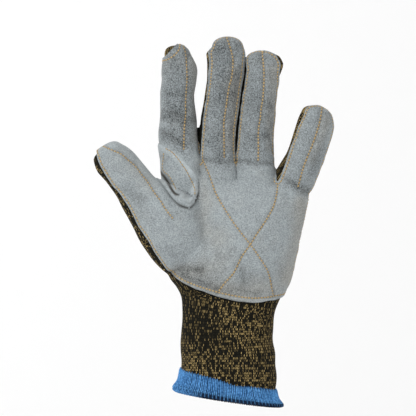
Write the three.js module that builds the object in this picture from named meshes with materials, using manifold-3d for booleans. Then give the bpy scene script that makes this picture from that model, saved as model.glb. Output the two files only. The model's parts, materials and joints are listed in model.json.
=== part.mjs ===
// A knitted work glove with a split-leather palm, standing filled as it is when worn.
// Millimetres. +Z runs from the mouth up to the fingertips, -Y is the palm's side, and the
// origin is the middle of the mouth that the hand goes in by. The leather, the crotch patch
// and the knitted wall are layers of one form: each is that form grown by its own offsets.

import * as THREE from "three";
import { mergeVertices } from "three/addons/utils/BufferGeometryUtils.js";
import Module from "manifold-3d";

const wasm = await Module();
wasm.setup();

// Driving dimensions.
const KNIT_WALL = 1.6;
const LEATHER = 1.3;
const LAYER_GAP = 0.3;
const SECTION_GAP = 0.3;
const CUFF_TOP = 74;
const OVAL_POWER = 2.3;
const TRUNK_SIDES = 24;
const FINGER_SIDES = 14;
const TIP_RINGS = 2;
const MOUTH_OVERRUN = 12;
const SLIVER = 0.04;
const CUTTER_MARGIN = 7;

// Offsets of each layer's inner and outer skin from the knit's outer skin.
const CAVITY = -KNIT_WALL;
const LEATHER_UNDER = LAYER_GAP;
const LEATHER_TOP = LEATHER_UNDER + LEATHER;
const PATCH_UNDER = LEATHER_TOP + LAYER_GAP;
const PATCH_TOP = PATCH_UNDER + LEATHER;

// Every limb of the form is a table of sections. A section is an oval across the limb: its left
// and right ends as seen on the palm, and how far it reaches to the front and the back. The knit
// of a finger starts as a section of its own at the limb's stall line.
const SECTION = ["left_x", "left_z", "right_x", "right_z", "front_y", "back_y"];

const TRUNK = {
  sides: TRUNK_SIDES,
  rings: 13,
  tip: 3,
  sections: [
    [-34.9, 20.9, 34.4, 6.5, -24, 24],
    [-34.9, 34.6, 34, 25.9, -24.5, 24],
    [-34.2, 49, 32.6, 46.1, -23.5, 23],
    [-34.9, 61.9, 33.8, 61.9, -22.5, 22.5],
    [-34.9, 72, 37.8, 72.7, -22.5, 22],
    [-38.4, 79.9, 42.2, 80.6, -23, 22],
    [-42.8, 87.8, 44.9, 89.3, -24, 21.5],
    [-46, 102.2, 47.8, 103.7, -24.5, 20.5],
    [-46.8, 118.8, 51.4, 121, -22.5, 19],
    [-47.9, 135.4, 54.6, 135.4, -19.5, 17.5],
    [-47.2, 149, 57.6, 145.5, -16.5, 15],
    [-45, 158, 56.5, 151.5, -13, 12],
    [-41, 163, 52, 155.5, -9, 8],
  ],
  wrap: { left: 0, right: 6 },
};

const INDEX = {
  sides: FINGER_SIDES,
  rings: 9,
  tip: 10.5,
  sections: [
    [-44, 146, -19, 146, -13.5, 12.5],
    [-46.8, 160, -19.6, 160, -14, 11.5],
    [-47.2, 172, -20.6, 172, -13.5, 10],
    [-48.6, 187.2, -23.4, 187.2, -13.5, 7.5],
    [-48, 201.6, -24.9, 201.6, -14.5, 6],
    [-48.2, 218.9, -25.9, 218.9, -16, 3.5],
    [-47.2, 230.4, -24.7, 230.4, -17.5, 1.5],
    [-46.8, 239, -25.4, 239, -18.5, -0.5],
    [-46, 244, -28, 244, -19, -2],
  ],
  wrap: { left: 4, right: 3 },
  stall: [-48, 174, -20, 174],
};

const MIDDLE = {
  sides: FINGER_SIDES,
  rings: 9,
  tip: 10.5,
  sections: [
    [-22, 146, 7.5, 146, -13.5, 13],
    [-20.6, 160, 6.4, 160, -14, 12],
    [-19.2, 172, 4.9, 172, -13.5, 10.5],
    [-18.8, 187.2, 6, 187.2, -13.5, 8.5],
    [-18.6, 201.6, 7.7, 201.6, -14.5, 7],
    [-17.6, 216, 9.1, 216, -15.5, 5.5],
    [-15.8, 227.5, 10.4, 227.5, -16.5, 3.5],
    [-15, 240.5, 10.4, 240.5, -18, 1],
    [-13.4, 248.4, 9, 248.4, -19, -1.5],
  ],
  wrap: { left: -6.5, right: -5 },
  stall: [-20, 174, 5, 174],
};

const RING = {
  sides: FINGER_SIDES,
  rings: 9,
  tip: 6.5,
  sections: [
    [5, 145, 36, 144, -13, 12.5],
    [5.4, 160, 33, 158, -13.5, 11.5],
    [5.8, 172, 31.2, 172, -13, 10],
    [6.9, 187.2, 31.2, 187.2, -13, 7.5],
    [8.6, 201.6, 32.2, 201.6, -14, 6],
    [10.2, 216, 33.6, 216, -15, 4],
    [12.2, 227.5, 35, 227.5, -16.5, 2],
    [13.9, 237.6, 36.2, 237.6, -17.5, 0],
    [15, 242.4, 34.6, 242.4, -18, -2],
  ],
  wrap: { left: -7, right: -2 },
  stall: [5, 174, 32, 174],
};

const LITTLE = {
  sides: FINGER_SIDES,
  rings: 9,
  tip: 6,
  sections: [
    [26, 144, 48, 137, -11, 10.5],
    [32, 158, 58.6, 150, -12, 10.5],
    [36.6, 167, 62.8, 159.5, -12, 9],
    [41.6, 175, 65.8, 167.5, -11.5, 7.5],
    [45.4, 184.3, 69.2, 177.1, -12, 6],
    [47.8, 193, 72.2, 185.8, -13, 4],
    [50.6, 201, 74.2, 194, -14, 1.5],
    [53, 206.4, 73.6, 200.4, -14.5, 0],
  ],
  wrap: { left: -6.5, right: 4 },
  stall: [36.6, 168, 62.8, 160.5],
};

const THUMB = {
  sides: FINGER_SIDES,
  rings: 11,
  tip: 6.5,
  sections: [
    [-40, 86.5, -8, 99, -14, 10],
    [-48.8, 94, -9, 111.6, -22, 11],
    [-56.2, 102.2, -13.7, 126, -27, 10.5],
    [-61.9, 110.9, -20.9, 138.2, -29, 9],
    [-66.2, 119.5, -32.4, 145.6, -29, 6],
    [-70.6, 128.2, -42.2, 149.5, -28.5, 2],
    [-75.6, 136.8, -52.4, 155.6, -28, -2],
    [-79.9, 145.4, -58.8, 162.2, -28, -4],
    [-85.4, 154, -64.4, 170.2, -28.5, -5.5],
    [-92.8, 162.6, -70.4, 177.8, -29, -7],
    [-95, 169, -79.2, 181.4, -28, -9],
  ],
  wrap: { left: 1, right: 4 },
  stall: [-75.6, 136.8, -52.4, 155.6],
};

const FINGERS = [INDEX, MIDDLE, RING, LITTLE, THUMB];
const LIMBS = [TRUNK, ...FINGERS];

// The leather's cut as seen on the palm, in x and z: down the thumb's outer edge, round the heel
// of the hand, and then clear of the form, except at the index fingertip that it leaves bare.
const LEATHER_EDGE = [
  [-95.4, 180], [-95.8, 175], [-93.6, 169.6], [-88.2, 161.6], [-81.4, 153.4], [-70.9, 137.5],
  [-61.9, 122], [-50.4, 102.2], [-42.5, 91.4], [-25.9, 80.6], [-1.4, 73.1], [15.1, 70.6],
  [33.1, 72.7], [45.4, 79.2], [60, 92],
];
const LEATHER_CLEAR = [
  [95, 130], [95, 275], [-30, 275], [-37.8, 256], [-49.7, 243.7], [-60, 233], [-112, 200], [-108, 184],
];

// The patch over the web between thumb and index: its rounded edge on the palm, in x and z, and
// the stretch past the web's outline, where it folds over to the back.
const PATCH_EDGE = [
  [-61.9, 170.6], [-55.4, 161.3], [-49.7, 152.6], [-43.9, 145.4], [-36.7, 139.3], [-31, 137.5],
  [-26.6, 139.7], [-23, 145.4], [-23, 153.4], [-25.2, 159.8], [-35.3, 172], [-46.8, 182.9],
];
const PATCH_CLEAR = [[-54, 190], [-63, 181]];

// The blue band that finishes the mouth: its top and bottom ovals, and the closed outline of its
// wall, from the knit down to the rolled edge and back up inside.
const HEM_TOP = [-34.9, 20.6, 34.4, 6.2, -24, 24];
const HEM_BOTTOM = [-38, 5.6, 36.8, -4.6, -25.5, 25.5];
const HEM_SIDES = 32;
const HEM_WALL = [
  { down: 0, out: 0.4 },
  { down: 0.45, out: 0.7 },
  { down: 0.75, out: 1.8 },
  { down: 0.92, out: 2.9 },
  { down: 1.03, out: 2.2 },
  { down: 1.06, out: 0.8 },
  { down: 0.95, out: -0.7 },
  { down: 0.6, out: -1.5 },
  { down: 0, out: -KNIT_WALL },
];

// A section as an object with the names of its columns.
function named(values) {
  return Object.fromEntries(SECTION.map((column, i) => [column, values[i]]));
}

// Smooth sections between a limb's own ones, count of them from the first to the last.
function smoothed(sections, count) {
  const places = sections.map((_, i) => i);
  const curve = new THREE.CubicInterpolant(places, sections.flat(), SECTION.length);
  return Array.from({ length: count }, (_, i) => {
    const values = curve.evaluate((i / (count - 1)) * (sections.length - 1));
    return named([...values]);
  });
}

// A section's middle, its direction across the limb, and its half width and half depth.
function frameOf(section) {
  const left = new THREE.Vector3(section.left_x, 0, section.left_z);
  const right = new THREE.Vector3(section.right_x, 0, section.right_z);
  const middle = left.clone().add(right).multiplyScalar(0.5);
  middle.y = (section.front_y + section.back_y) / 2;
  return {
    middle,
    across: right.clone().sub(left).normalize(),
    halfWidth: left.distanceTo(right) / 2,
    halfDepth: (section.back_y - section.front_y) / 2,
  };
}

// One coordinate of a rounded oval, which is a little squarer than an ellipse.
function oval(value) {
  return Math.sign(value) * Math.abs(value) ** (2 / OVAL_POWER);
}

// The points of an oval ring: angle 0 is the right-hand end and the front comes at -90 degrees.
function ovalRing(middle, across, halfWidth, halfDepth, sides) {
  return Array.from({ length: sides }, (_, i) => {
    const angle = (i / sides) * 2 * Math.PI;
    const point = middle.clone().addScaledVector(across, halfWidth * oval(Math.cos(angle)));
    point.y += halfDepth * oval(Math.sin(angle));
    return point;
  });
}

// A closed solid through rings of equal length, with a flat first end and a flat or pointed last one.
function throughRings(rings, apex) {
  const sides = rings[0].length;
  const points = rings.flat();
  const faces = [];
  for (let r = 0; r + 1 < rings.length; r++) {
    for (let i = 0; i < sides; i++) {
      const j = (i + 1) % sides;
      const [a, b, c, d] = [r * sides + i, r * sides + j, (r + 1) * sides + j, (r + 1) * sides + i];
      faces.push(a, b, c, a, c, d);
    }
  }
  const first = points.push(centreOf(rings[0])) - 1;
  const last = points.push(apex ?? centreOf(rings.at(-1))) - 1;
  const top = (rings.length - 1) * sides;
  for (let i = 0; i < sides; i++) {
    const j = (i + 1) % sides;
    faces.push(first, j, i, last, top + i, top + j);
  }
  return solidFrom(points, faces);
}

function centreOf(ring) {
  return ring.reduce((sum, point) => sum.add(point), new THREE.Vector3()).divideScalar(ring.length);
}

function solidFrom(points, faces) {
  const geometry = new THREE.BufferGeometry().setFromPoints(points).setIndex(faces);
  return solidOf(geometry);
}

// Any closed three.js geometry as a solid that can be cut and joined.
function solidOf(geometry) {
  const bare = new THREE.BufferGeometry().setAttribute("position", geometry.getAttribute("position"));
  bare.setIndex(geometry.index);
  const merged = mergeVertices(bare, 1e-4);
  return new wasm.Manifold(new wasm.Mesh({
    numProp: 3,
    vertProperties: new Float32Array(merged.attributes.position.array),
    triVerts: new Uint32Array(merged.index.array),
  }));
}

function joined(solids) {
  return solids.reduce((sum, solid) => sum.add(solid));
}

// One limb grown by an offset, closed by a dome where it has a tip. A limb that the mouth cuts
// through is lengthened below its first section.
function limbSolid(limb, grow, overrun = 0) {
  const frames = smoothed(limb.sections, limb.rings).map(frameOf);
  const rings = frames.map((f) =>
    ovalRing(f.middle, f.across, f.halfWidth + grow, f.halfDepth + grow, limb.sides));
  if (overrun) rings.unshift(rings[0].map((p) => p.clone().setZ(p.z - overrun)));
  if (!limb.tip) return throughRings(rings);
  const [before, end] = frames.slice(-2);
  const along = end.middle.clone().sub(before.middle).normalize();
  const reach = limb.tip + grow;
  for (let k = 1; k <= TIP_RINGS; k++) {
    const turn = (k / (TIP_RINGS + 1)) * (Math.PI / 2);
    const middle = end.middle.clone().addScaledVector(along, reach * Math.sin(turn));
    const shrink = oval(Math.cos(turn));
    rings.push(ovalRing(middle, end.across, (end.halfWidth + grow) * shrink,
      (end.halfDepth + grow) * shrink, limb.sides));
  }
  return throughRings(rings, end.middle.clone().addScaledVector(along, reach));
}

// The whole form grown by an offset.
function form(grow, overrun = 0) {
  return joined(LIMBS.map((limb) => limbSolid(limb, grow, limb === TRUNK ? overrun : 0)));
}

// The side of a limb that leather covers: everything in front of a plane that stands wrap
// millimetres behind the limb's middle at its left and right edges.
function palmSide(limb, slack) {
  const rings = smoothed(limb.sections, limb.rings).map((section) => {
    const { middle, across, halfWidth, halfDepth } = frameOf(section);
    const reach = halfWidth + CUTTER_MARGIN;
    const front = middle.y - halfDepth - CUTTER_MARGIN;
    const corner = (side, y) => middle.clone().addScaledVector(across, side * reach).setY(y);
    return [
      corner(1, front),
      corner(1, middle.y + limb.wrap.right + slack),
      corner(-1, middle.y + limb.wrap.left + slack),
      corner(-1, front),
    ];
  });
  if (limb.tip) {
    const [before, end] = smoothed(limb.sections, limb.rings).map(frameOf).slice(-2);
    const along = end.middle.clone().sub(before.middle).normalize();
    rings.push(rings.at(-1).map((p) => p.clone().addScaledVector(along, limb.tip + CUTTER_MARGIN)));
  }
  return throughRings(rings);
}

// An outline drawn on the palm, in x and z, pushed through the whole depth of the glove.
function throughOutline(curved, straight) {
  const depth = 80;
  const points = curved.map(([x, z]) => new THREE.Vector2(x, z));
  const shape = new THREE.Shape().moveTo(points[0].x, points[0].y);
  shape.splineThru(points.slice(1));
  straight.forEach(([x, z]) => shape.lineTo(x, z));
  shape.closePath();
  const geometry = new THREE.ExtrudeGeometry(shape, { depth, bevelEnabled: false, curveSegments: 2 });
  geometry.rotateX(Math.PI / 2).translate(0, depth / 2, 0);
  geometry.deleteAttribute("normal");
  geometry.deleteAttribute("uv");
  return solidOf(mergeVertices(geometry, 1e-4));
}

// The part of a solid that lies past a finger's stall line, towards its tip.
function pastStall(solid, limb, clearance) {
  const [left_x, left_z, right_x, right_z] = limb.stall;
  const along = new THREE.Vector3(left_z - right_z, 0, right_x - left_x).normalize();
  const height = along.dot(new THREE.Vector3(left_x, 0, left_z)) + clearance;
  return solid.trimByPlane(along.toArray(), height);
}

// The stall of one finger: its hollow wall from the stall line to the closed tip.
function knitStall(limb) {
  return pastStall(limbSolid(limb, 0).subtract(limbSolid(limb, CAVITY)), limb, SECTION_GAP);
}

// The hollow wall of the hand and the cuff, without the stalls.
function knitTrunk() {
  const stalls = FINGERS.map((limb) => pastStall(limbSolid(limb, SECTION_GAP), limb, 0));
  return form(0).subtract(form(CAVITY, MOUTH_OVERRUN)).subtract(joined(stalls));
}

function knitHand() {
  return knitTrunk().trimByPlane([0, 0, 1], CUFF_TOP + SECTION_GAP);
}

function knitCuff() {
  return knitTrunk().trimByPlane([0, 0, -1], -CUFF_TOP);
}

// Where the palm leather may lie, with some slack where a layer over it has to clear it.
function leatherField(slack) {
  const fronts = joined(LIMBS.map((limb) => palmSide(limb, slack)));
  return fronts.intersect(throughOutline(LEATHER_EDGE, LEATHER_CLEAR));
}

// The one-piece leather palm with its fingers and thumb.
function palmLeather() {
  return form(LEATHER_TOP).subtract(form(LEATHER_UNDER)).intersect(leatherField(0));
}

// The patch that folds over the thumb's web: on the leather in front, on the knit behind.
function crotchPatch() {
  const field = throughOutline(PATCH_EDGE, PATCH_CLEAR);
  const overLeather = form(PATCH_TOP).intersect(leatherField(LEATHER + LAYER_GAP));
  const overKnit = form(LEATHER_TOP);
  const underLeather = form(PATCH_UNDER).intersect(leatherField(LAYER_GAP));
  return overLeather.add(overKnit).intersect(field).subtract(form(LEATHER_UNDER)).subtract(underLeather);
}

// The blue band at the mouth, its wall's outline carried round the oval opening.
function cuffHem() {
  const [top, bottom] = [HEM_TOP, HEM_BOTTOM];
  const rings = HEM_WALL.map(({ down, out }) => {
    const section = named(top.map((value, i) => value + (bottom[i] - value) * down));
    const { middle, across, halfWidth, halfDepth } = frameOf(section);
    return ovalRing(middle, across, halfWidth + out, halfDepth + out, HEM_SIDES);
  });
  const faces = [];
  for (let r = 0; r < rings.length; r++) {
    const next = (r + 1) % rings.length;
    for (let i = 0; i < HEM_SIDES; i++) {
      const j = (i + 1) % HEM_SIDES;
      const [a, b] = [r * HEM_SIDES + i, r * HEM_SIDES + j];
      const [c, d] = [next * HEM_SIDES + j, next * HEM_SIDES + i];
      faces.push(a, c, b, a, d, c);
    }
  }
  return solidFrom(rings.flat(), faces);
}

// The largest body of a solid, without the loose crumbs that a cut can leave.
function mainBody(solid) {
  return solid.decompose().reduce((best, body) => (body.volume() > best.volume() ? body : best));
}

function meshOf(name, solid, material) {
  const { vertProperties, triVerts, numProp } = mainBody(solid).simplify(SLIVER).getMesh();
  const geometry = new THREE.BufferGeometry();
  geometry.setAttribute("position", new THREE.BufferAttribute(vertProperties, numProp));
  geometry.setIndex(new THREE.BufferAttribute(triVerts, 1));
  geometry.computeVertexNormals();
  const mesh = new THREE.Mesh(geometry, material);
  mesh.name = name;
  return mesh;
}

const KNIT = new THREE.MeshStandardMaterial({ color: 0x4a4432, roughness: 0.95, metalness: 0 });
const SUEDE = new THREE.MeshStandardMaterial({ color: 0x9aa3a5, roughness: 0.95, metalness: 0 });
const BLUE_YARN = new THREE.MeshStandardMaterial({ color: 0x3f7cc0, roughness: 0.9, metalness: 0 });

const glove = new THREE.Group();
glove.add(
  meshOf("knit_cuff", knitCuff(), KNIT),
  meshOf("knit_hand", knitHand(), KNIT),
  meshOf("knit_thumb", knitStall(THUMB), KNIT),
  meshOf("knit_index", knitStall(INDEX), KNIT),
  meshOf("knit_middle", knitStall(MIDDLE), KNIT),
  meshOf("knit_ring", knitStall(RING), KNIT),
  meshOf("knit_little", knitStall(LITTLE), KNIT),
  meshOf("palm_leather", palmLeather(), SUEDE),
  meshOf("thumb_crotch_patch", crotchPatch(), SUEDE),
  meshOf("cuff_hem", cuffHem(), BLUE_YARN),
);

export default glove;
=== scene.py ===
"""A knitted work glove with a split-leather palm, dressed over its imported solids.

Metres, and millimetres in the tables. +Z runs from the mouth up to the fingertips and -Y is the palm's
side. One smooth skin of the filled glove is made from the limbs' section tables. The knit, the palm
leather and the patch over the thumb's web are walls grown from that skin, and every stitch lies on the
wall that it sews.
"""

import json
import logging
import math
from contextlib import contextmanager
from dataclasses import dataclass, field
from enum import Enum
from typing import Callable, Iterator, Sequence, Union

import bmesh
import bpy
import numpy as np
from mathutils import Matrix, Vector, noise
from mathutils.bvhtree import BVHTree

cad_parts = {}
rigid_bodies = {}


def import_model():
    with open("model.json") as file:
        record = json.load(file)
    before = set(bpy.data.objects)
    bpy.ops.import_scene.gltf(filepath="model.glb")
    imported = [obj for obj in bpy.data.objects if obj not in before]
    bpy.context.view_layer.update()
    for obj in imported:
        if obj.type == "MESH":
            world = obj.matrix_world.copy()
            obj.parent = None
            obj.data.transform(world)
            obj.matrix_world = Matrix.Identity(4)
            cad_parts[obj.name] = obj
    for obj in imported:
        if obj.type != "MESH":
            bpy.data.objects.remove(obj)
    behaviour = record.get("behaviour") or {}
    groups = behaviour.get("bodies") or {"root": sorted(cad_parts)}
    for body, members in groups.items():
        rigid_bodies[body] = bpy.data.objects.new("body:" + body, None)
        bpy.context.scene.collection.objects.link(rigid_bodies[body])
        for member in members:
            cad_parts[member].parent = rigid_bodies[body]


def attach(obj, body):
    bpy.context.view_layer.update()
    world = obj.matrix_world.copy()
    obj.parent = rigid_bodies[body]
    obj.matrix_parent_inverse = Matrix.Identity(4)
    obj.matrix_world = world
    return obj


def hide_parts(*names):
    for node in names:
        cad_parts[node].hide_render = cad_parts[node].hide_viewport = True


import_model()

Array = np.ndarray
Piece = bpy.types.Object
Material = bpy.types.Material
Socket = bpy.types.NodeSocket
EditMesh = bmesh.types.BMesh
Spot = tuple[float, float]
Points = Sequence[Spot]
Bands = Sequence[tuple[float, ...]]
Colour = tuple[float, float, float, float]
Row = tuple[Array, Array]

LOG = logging.getLogger("glove")
MM = 0.001
FAR = 1e9

# Thicknesses, gaps and face sizes, in metres.
KNIT_WALL = 1.6 * MM
LEATHER = 1.3 * MM
LAYER_GAP = 0.3 * MM
SKIN_VOXEL = 1.15 * MM
KNIT_VOXEL = 1.8 * MM
CALM_STEP = 0.8 * MM
ROW_STEP = 0.9 * MM
IN_FRONT = -200 * MM
WELD = 1e-6

# The skin: how square its ovals are, the rings of a tip's dome, how far it stands outside the sections
# and past a tip in millimetres, how softly one limb's leather edge passes into the next one's, and how
# often the skin and the knit are smoothed.
OVAL_POWER = 2.3
TIP_RINGS = 6
SKIN_GROW = 0.25
TIP_SLACK = 0.5
LIMB_BLEND = 0.12
SKIN_ROUNDS = 10
KNIT_ROUNDS = 5
MAP_SECTIONS = 60
CURVE_STEPS = 12

# The angles in degrees up to which the pieces are shaded smooth.
YARN_ANGLE = 60
LEATHER_ANGLE = 55

KNIT_NODES = (
    "knit_cuff", "knit_hand", "knit_thumb", "knit_index", "knit_middle", "knit_ring", "knit_little",
)

# The glove's seams as seen on the palm, in millimetres of x and z.
INDEX_SEAM = (
    (-32.4, 253.2), (-30.7, 248.3), (-30.1, 243.1), (-29.7, 236.7), (-29.5, 229), (-30.1, 220),
    (-30.6, 211.6), (-30.5, 203.3), (-31.4, 194.9), (-31.8, 178.2),
)
MIDDLE_SEAM = (
    (-1.2, 258.6), (0.4, 254.7), (2, 249.6), (3.3, 243.7), (3.3, 237.3), (2.4, 229.7), (0.7, 223.9),
    (-0.6, 216), (-1.5, 209), (-2.4, 203.3), (-3.1, 197.4), (-3, 189.1), (-2.8, 172.4),
)
RING_SEAM = (
    (24.2, 249.5), (25, 241.9), (25.6, 234.7), (25.6, 226.4), (25.3, 221.3), (24.8, 214.8), (23.5, 207.1),
    (23, 200.7), (22, 195.6), (21.6, 189.1), (21.7, 181.4), (21.5, 170.4),
)
LITTLE_SEAM = (
    (67.4, 210), (66, 200.5), (63.7, 191.7), (60.8, 183.2), (57.9, 175.9), (54.9, 168.5), (52.7, 161.6),
    (50, 151.6),
)
THUMB_SEAM = (
    (-91, 181.5), (-82.9, 178.1), (-76.1, 175), (-72, 171.4), (-66.5, 166.8), (-62.3, 161.3),
    (-57.2, 154.8), (-52.6, 147.6), (-47.7, 141.1), (-44.4, 135.6), (-39.1, 129),
)
PALM_SEAM_LEFT = (
    (-17.7, 170.6), (-13.2, 159.8), (-8.6, 146.9), (-1.4, 134.4), (5.9, 123.4), (15.8, 110.7),
    (22.2, 101.7), (28.6, 90.7), (32.2, 74.4),
)
PALM_SEAM_RIGHT = (
    (35.8, 153.4), (33.1, 139.7), (27.6, 128.9), (20.4, 118.1), (15.8, 110.7), (9.5, 101.7),
    (4.1, 90.7), (-2.3, 83.5), (-6.8, 77.2),
)
PATCH_SEAM_UPPER = (
    (-44.9, 179.5), (-40.5, 177), (-36.7, 173.1), (-33.6, 168.8), (-30, 163.7), (-27.6, 159),
    (-25.3, 154.3), (-23.8, 150), (-23.8, 146.2),
)
PATCH_SEAM_LOWER = (
    (-46.1, 176.5), (-46.8, 169.6), (-47.2, 165.6), (-45.2, 162.1), (-42.9, 160.6), (-40.5, 157),
    (-38.6, 153.1), (-37.4, 150),
)
PATCH_FOLD = (
    (-49.5, 163.8), (-47.8, 161.5), (-45.3, 158.5), (-42.3, 153.7), (-40, 149.6), (-37.7, 146.9),
    (-35.2, 146.1),
)
LEATHER_SEAMS = (
    INDEX_SEAM, MIDDLE_SEAM, RING_SEAM, LITTLE_SEAM, THUMB_SEAM, PALM_SEAM_LEFT, PALM_SEAM_RIGHT,
)

# The leather's cut: down the thumb's outer edge, round the heel of the hand, then clear of the glove,
# except at the tip of the index that it leaves bare.
LEATHER_EDGE = (
    (-92.6, 181), (-92.9, 175), (-91.6, 169.2), (-88, 163.1), (-83.5, 156.2), (-78, 149.4), (-72.5, 141.7),
    (-66.9, 132.1), (-62.9, 123.3), (-57.3, 115.7), (-53.2, 108.1), (-47, 99), (-42.2, 92.8), (-37, 88.2),
    (-29.7, 83.8), (-20.7, 79.5), (-11.7, 75.9), (-4, 73.4), (5.7, 71.2), (15.3, 70), (25, 70.5),
    (32.7, 72.4), (38.6, 74.8), (42.5, 76.9), (48, 79), (62, 86),
)
LEATHER_CLEAR = (
    (95, 130), (95, 275), (-30, 275), (-32.5, 256.8), (-53.5, 235.8), (-60, 230), (-112, 200), (-108, 184),
)

# Where the leather parts between the fingers: two ends and the half width at each, in millimetres.
LEATHER_SLITS = (
    ((-19.8, 176.5), (-20.4, 200), 1.1, 1.8), ((5.7, 175.5), (7, 200), 1.1, 1.6),
    ((36.1, 155.4), (37, 164), 0.9, 3), ((37.4, 165), (46, 183), 3.2, 1.2),
)
# Where the leather dips between the fingers without an edge, so that no stitches run there.
VALLEYS = (((-19.9, 170), (-20, 157)), ((5.5, 169.5), (5.4, 157)))
PATCH_EDGE = (
    (-60.8, 166.7), (-53.1, 157.7), (-44.7, 147.5), (-37.6, 139.7), (-31.2, 136.5), (-27.4, 136.8),
    (-22.9, 142.3), (-21.2, 146.8), (-21.2, 152.6), (-22.2, 155.8), (-27, 165.6), (-36.7, 175.9),
    (-46.8, 182.9),
)
PATCH_CLEAR = ((-54, 190), (-64, 181), (-63.5, 171))
PATCH_RIM = PATCH_EDGE[:9]

# Where the leather is painted darker or paler: a line's corners as x, z, x, z and so on, its half
# width in millimetres, and how much paler the leather is there. Most bands are painted shade: the
# fingers darker as if they lay in less light, and shade along the creases at the fingers' bases, the
# little finger's base, the index and the heel. One band is a painted highlight along the patch's
# rolled band, and the smaller ones vary the leather's own tone.
SHADE_AND_TONE_BANDS = (
    (-37, 188, -37, 250, 14, -0.24), (-6, 179, -4, 252, 13, -0.245),
    (19, 178, 23, 246, 12, -0.19), (50, 164, 66, 205, 11, -0.11),
    (-16, 172, -6, 170, 4, 171, 2.2, -0.10), (8, 171, 19, 169, 30, 169, 2.2, -0.10),
    (-47, 203, -36, 206, 4, -0.11), (-34, 196, -25, 202, 3.4, -0.08),
    (-47, 191, -40, 188, -32, 182, 3.2, -0.13), (-47, 197.5, -36, 195, 2.6, 0.10),
    (-46, 220, -30, 219, 4, -0.05), (-45, 246, -34, 249, 4, 0.06),
    (-46.5, 181.5, -38, 175.5, -30, 166, -23.5, 158, 2.3, 0.28),
    (59, 148.5, 52, 150.5, 44, 156, 3.4, -0.25), (65, 178, 60, 162, 3.6, -0.12),
    (57, 141, 46, 146, 3, 0.08),
    (-36, 85.5, -24, 79, -10, 73.4, 6, 69.6, 20, 68.4, 38, 72.5, 1.5, -0.13),
    (22, 243, 22, 225, 8, 0.05), (-8, 196, -2, 197, 4, 0.10),
    (-14, 196, -8, 193, 0, 195, 2.6, -0.05), (30, 196, 27, 188, 30, 178, 3.2, -0.09),
    (4, 232, 3, 206, 4.5, -0.08), (-39, 90, -30, 92.5, -20, 92, 4.5, -0.2),
    (-34, 89, -22, 87, -8, 84, 6, -0.09),
    (-30, 88, -20, 83.5, -10, 79.5, 3, -0.15), (0, 80, 9, 78, 20, 76.5, 2.6, -0.09),
    (-8, 79, 6, 75.6, 22, 75, 2.2, -0.12),
    (10, 92, 11, 82, 2.6, -0.08), (-44, 109, -36, 103, 4.6, -0.10),
    (-74, 152, -68, 148, -62, 141, 4.2, -0.09), (36, 126, 44, 104, 8, 0.02),
    (-2, 126, 4, 116, 10, 0.04), (2, 100, 16, 88, 8, -0.07),
    (-30, 132, 20, 132, 30, 0.025), (-80, 168, -55, 140, 12, 0.03),
    (-44, 170, -28, 150, 8, 0.03),
    (38, 146, 46, 130, 6, 0.02), (-22, 150, -17, 128, 3.6, -0.06),
    (-58, 150, -48, 136, 4, 0.05), (-27, 91, -14, 88, 2.4, 0.05),
    (-88, 176, -74, 168, 6, 0.04),
)

# Where the leather's grey is warmer, in the same columns.
WARM_BANDS = (
    (5, 236, 4, 205, 1, 182, 5, 0.9), (-25, 242, -25, 215, -23, 186, 4, 0.8),
    (32, 236, 30, 206, 29, 180, 4, 0.7), (-17, 154, -16, 120, 5, 0.55),
    (-6, 116, -6, 98, 8, 0.5), (52, 140, 46, 100, 42, 86, 6, 0.9),
    (-36, 90, -18, 92, 8, 0.8), (70, 200, 60, 172, 4, 0.6), (-68, 164, -56, 150, 6, 0.4),
    (-10, 80, 10, 78, 30, 80, 7, 0.8),
)

# Where the knit is painted darker or paler, in the same columns: painted shade over the cuff's left
# side, a painted shadow beside the leather's edge, and painted shade in the gaps between the fingers.
# The smaller bands vary the knit's own tone.
KNIT_SHADE_BANDS = (
    (-32, 74, -24, 54, -18, 40, 12, -0.24), (0, 34, 6, 16, 8, -0.06),
    (32, 70, 30, 58, 5, -0.10), (34, 50, 34, 20, 6, -0.08),
    (8, 56, 20, 46, 12, 0.05), (-18, 60, -6, 42, 6, -0.14), (-30, 28, -20, 26, 7, 0.05),
    (LEATHER_EDGE, 2.4, -0.55),
    (-21, 206, -19.5, 172, 3.5, -0.9), (10, 238, 5.2, 172, 3, -0.9),
)

# Creases that use has pressed into the palm side: a line's corners, its depth and its half width.
CREASES = (
    (-45, 207, -36, 203, -26, 199, 0.9, 1.9),
    (-46, 190, -38, 186, -31, 181, 0.8, 1.7),
    (-17, 171.5, -6, 169.5, 4, 170.5, 0.7, 2.2),
    (8, 170.5, 19, 168.8, 30, 168.5, 0.7, 2.2),
    (40, 160, 49, 152.5, 58, 149, 0.8, 2.4),
    (-40, 91.5, -30, 94, -18, 92.5, 1.1, 2.6),
    (-26, 85, -17, 82, -8, 80, 0.7, 1.8),
    (10.5, 94, 11, 86, 10, 78, 0.6, 2.4),
    (-75, 151, -68, 146, -60, 143, 0.5, 2.4),
    (-24, 132, -19, 122, -17, 108, 0.5, 3.4),
    (-15, 214, -6, 211, 5, 212, 0.4, 2.0),
    (12, 212, 20, 209, 30, 210, 0.4, 2.0),
    (2, 193, -6, 190, -14, 194, 0.4, 2.0),
    (29, 190, 24, 186, 16, 187, 0.4, 2.0),
)


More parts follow.
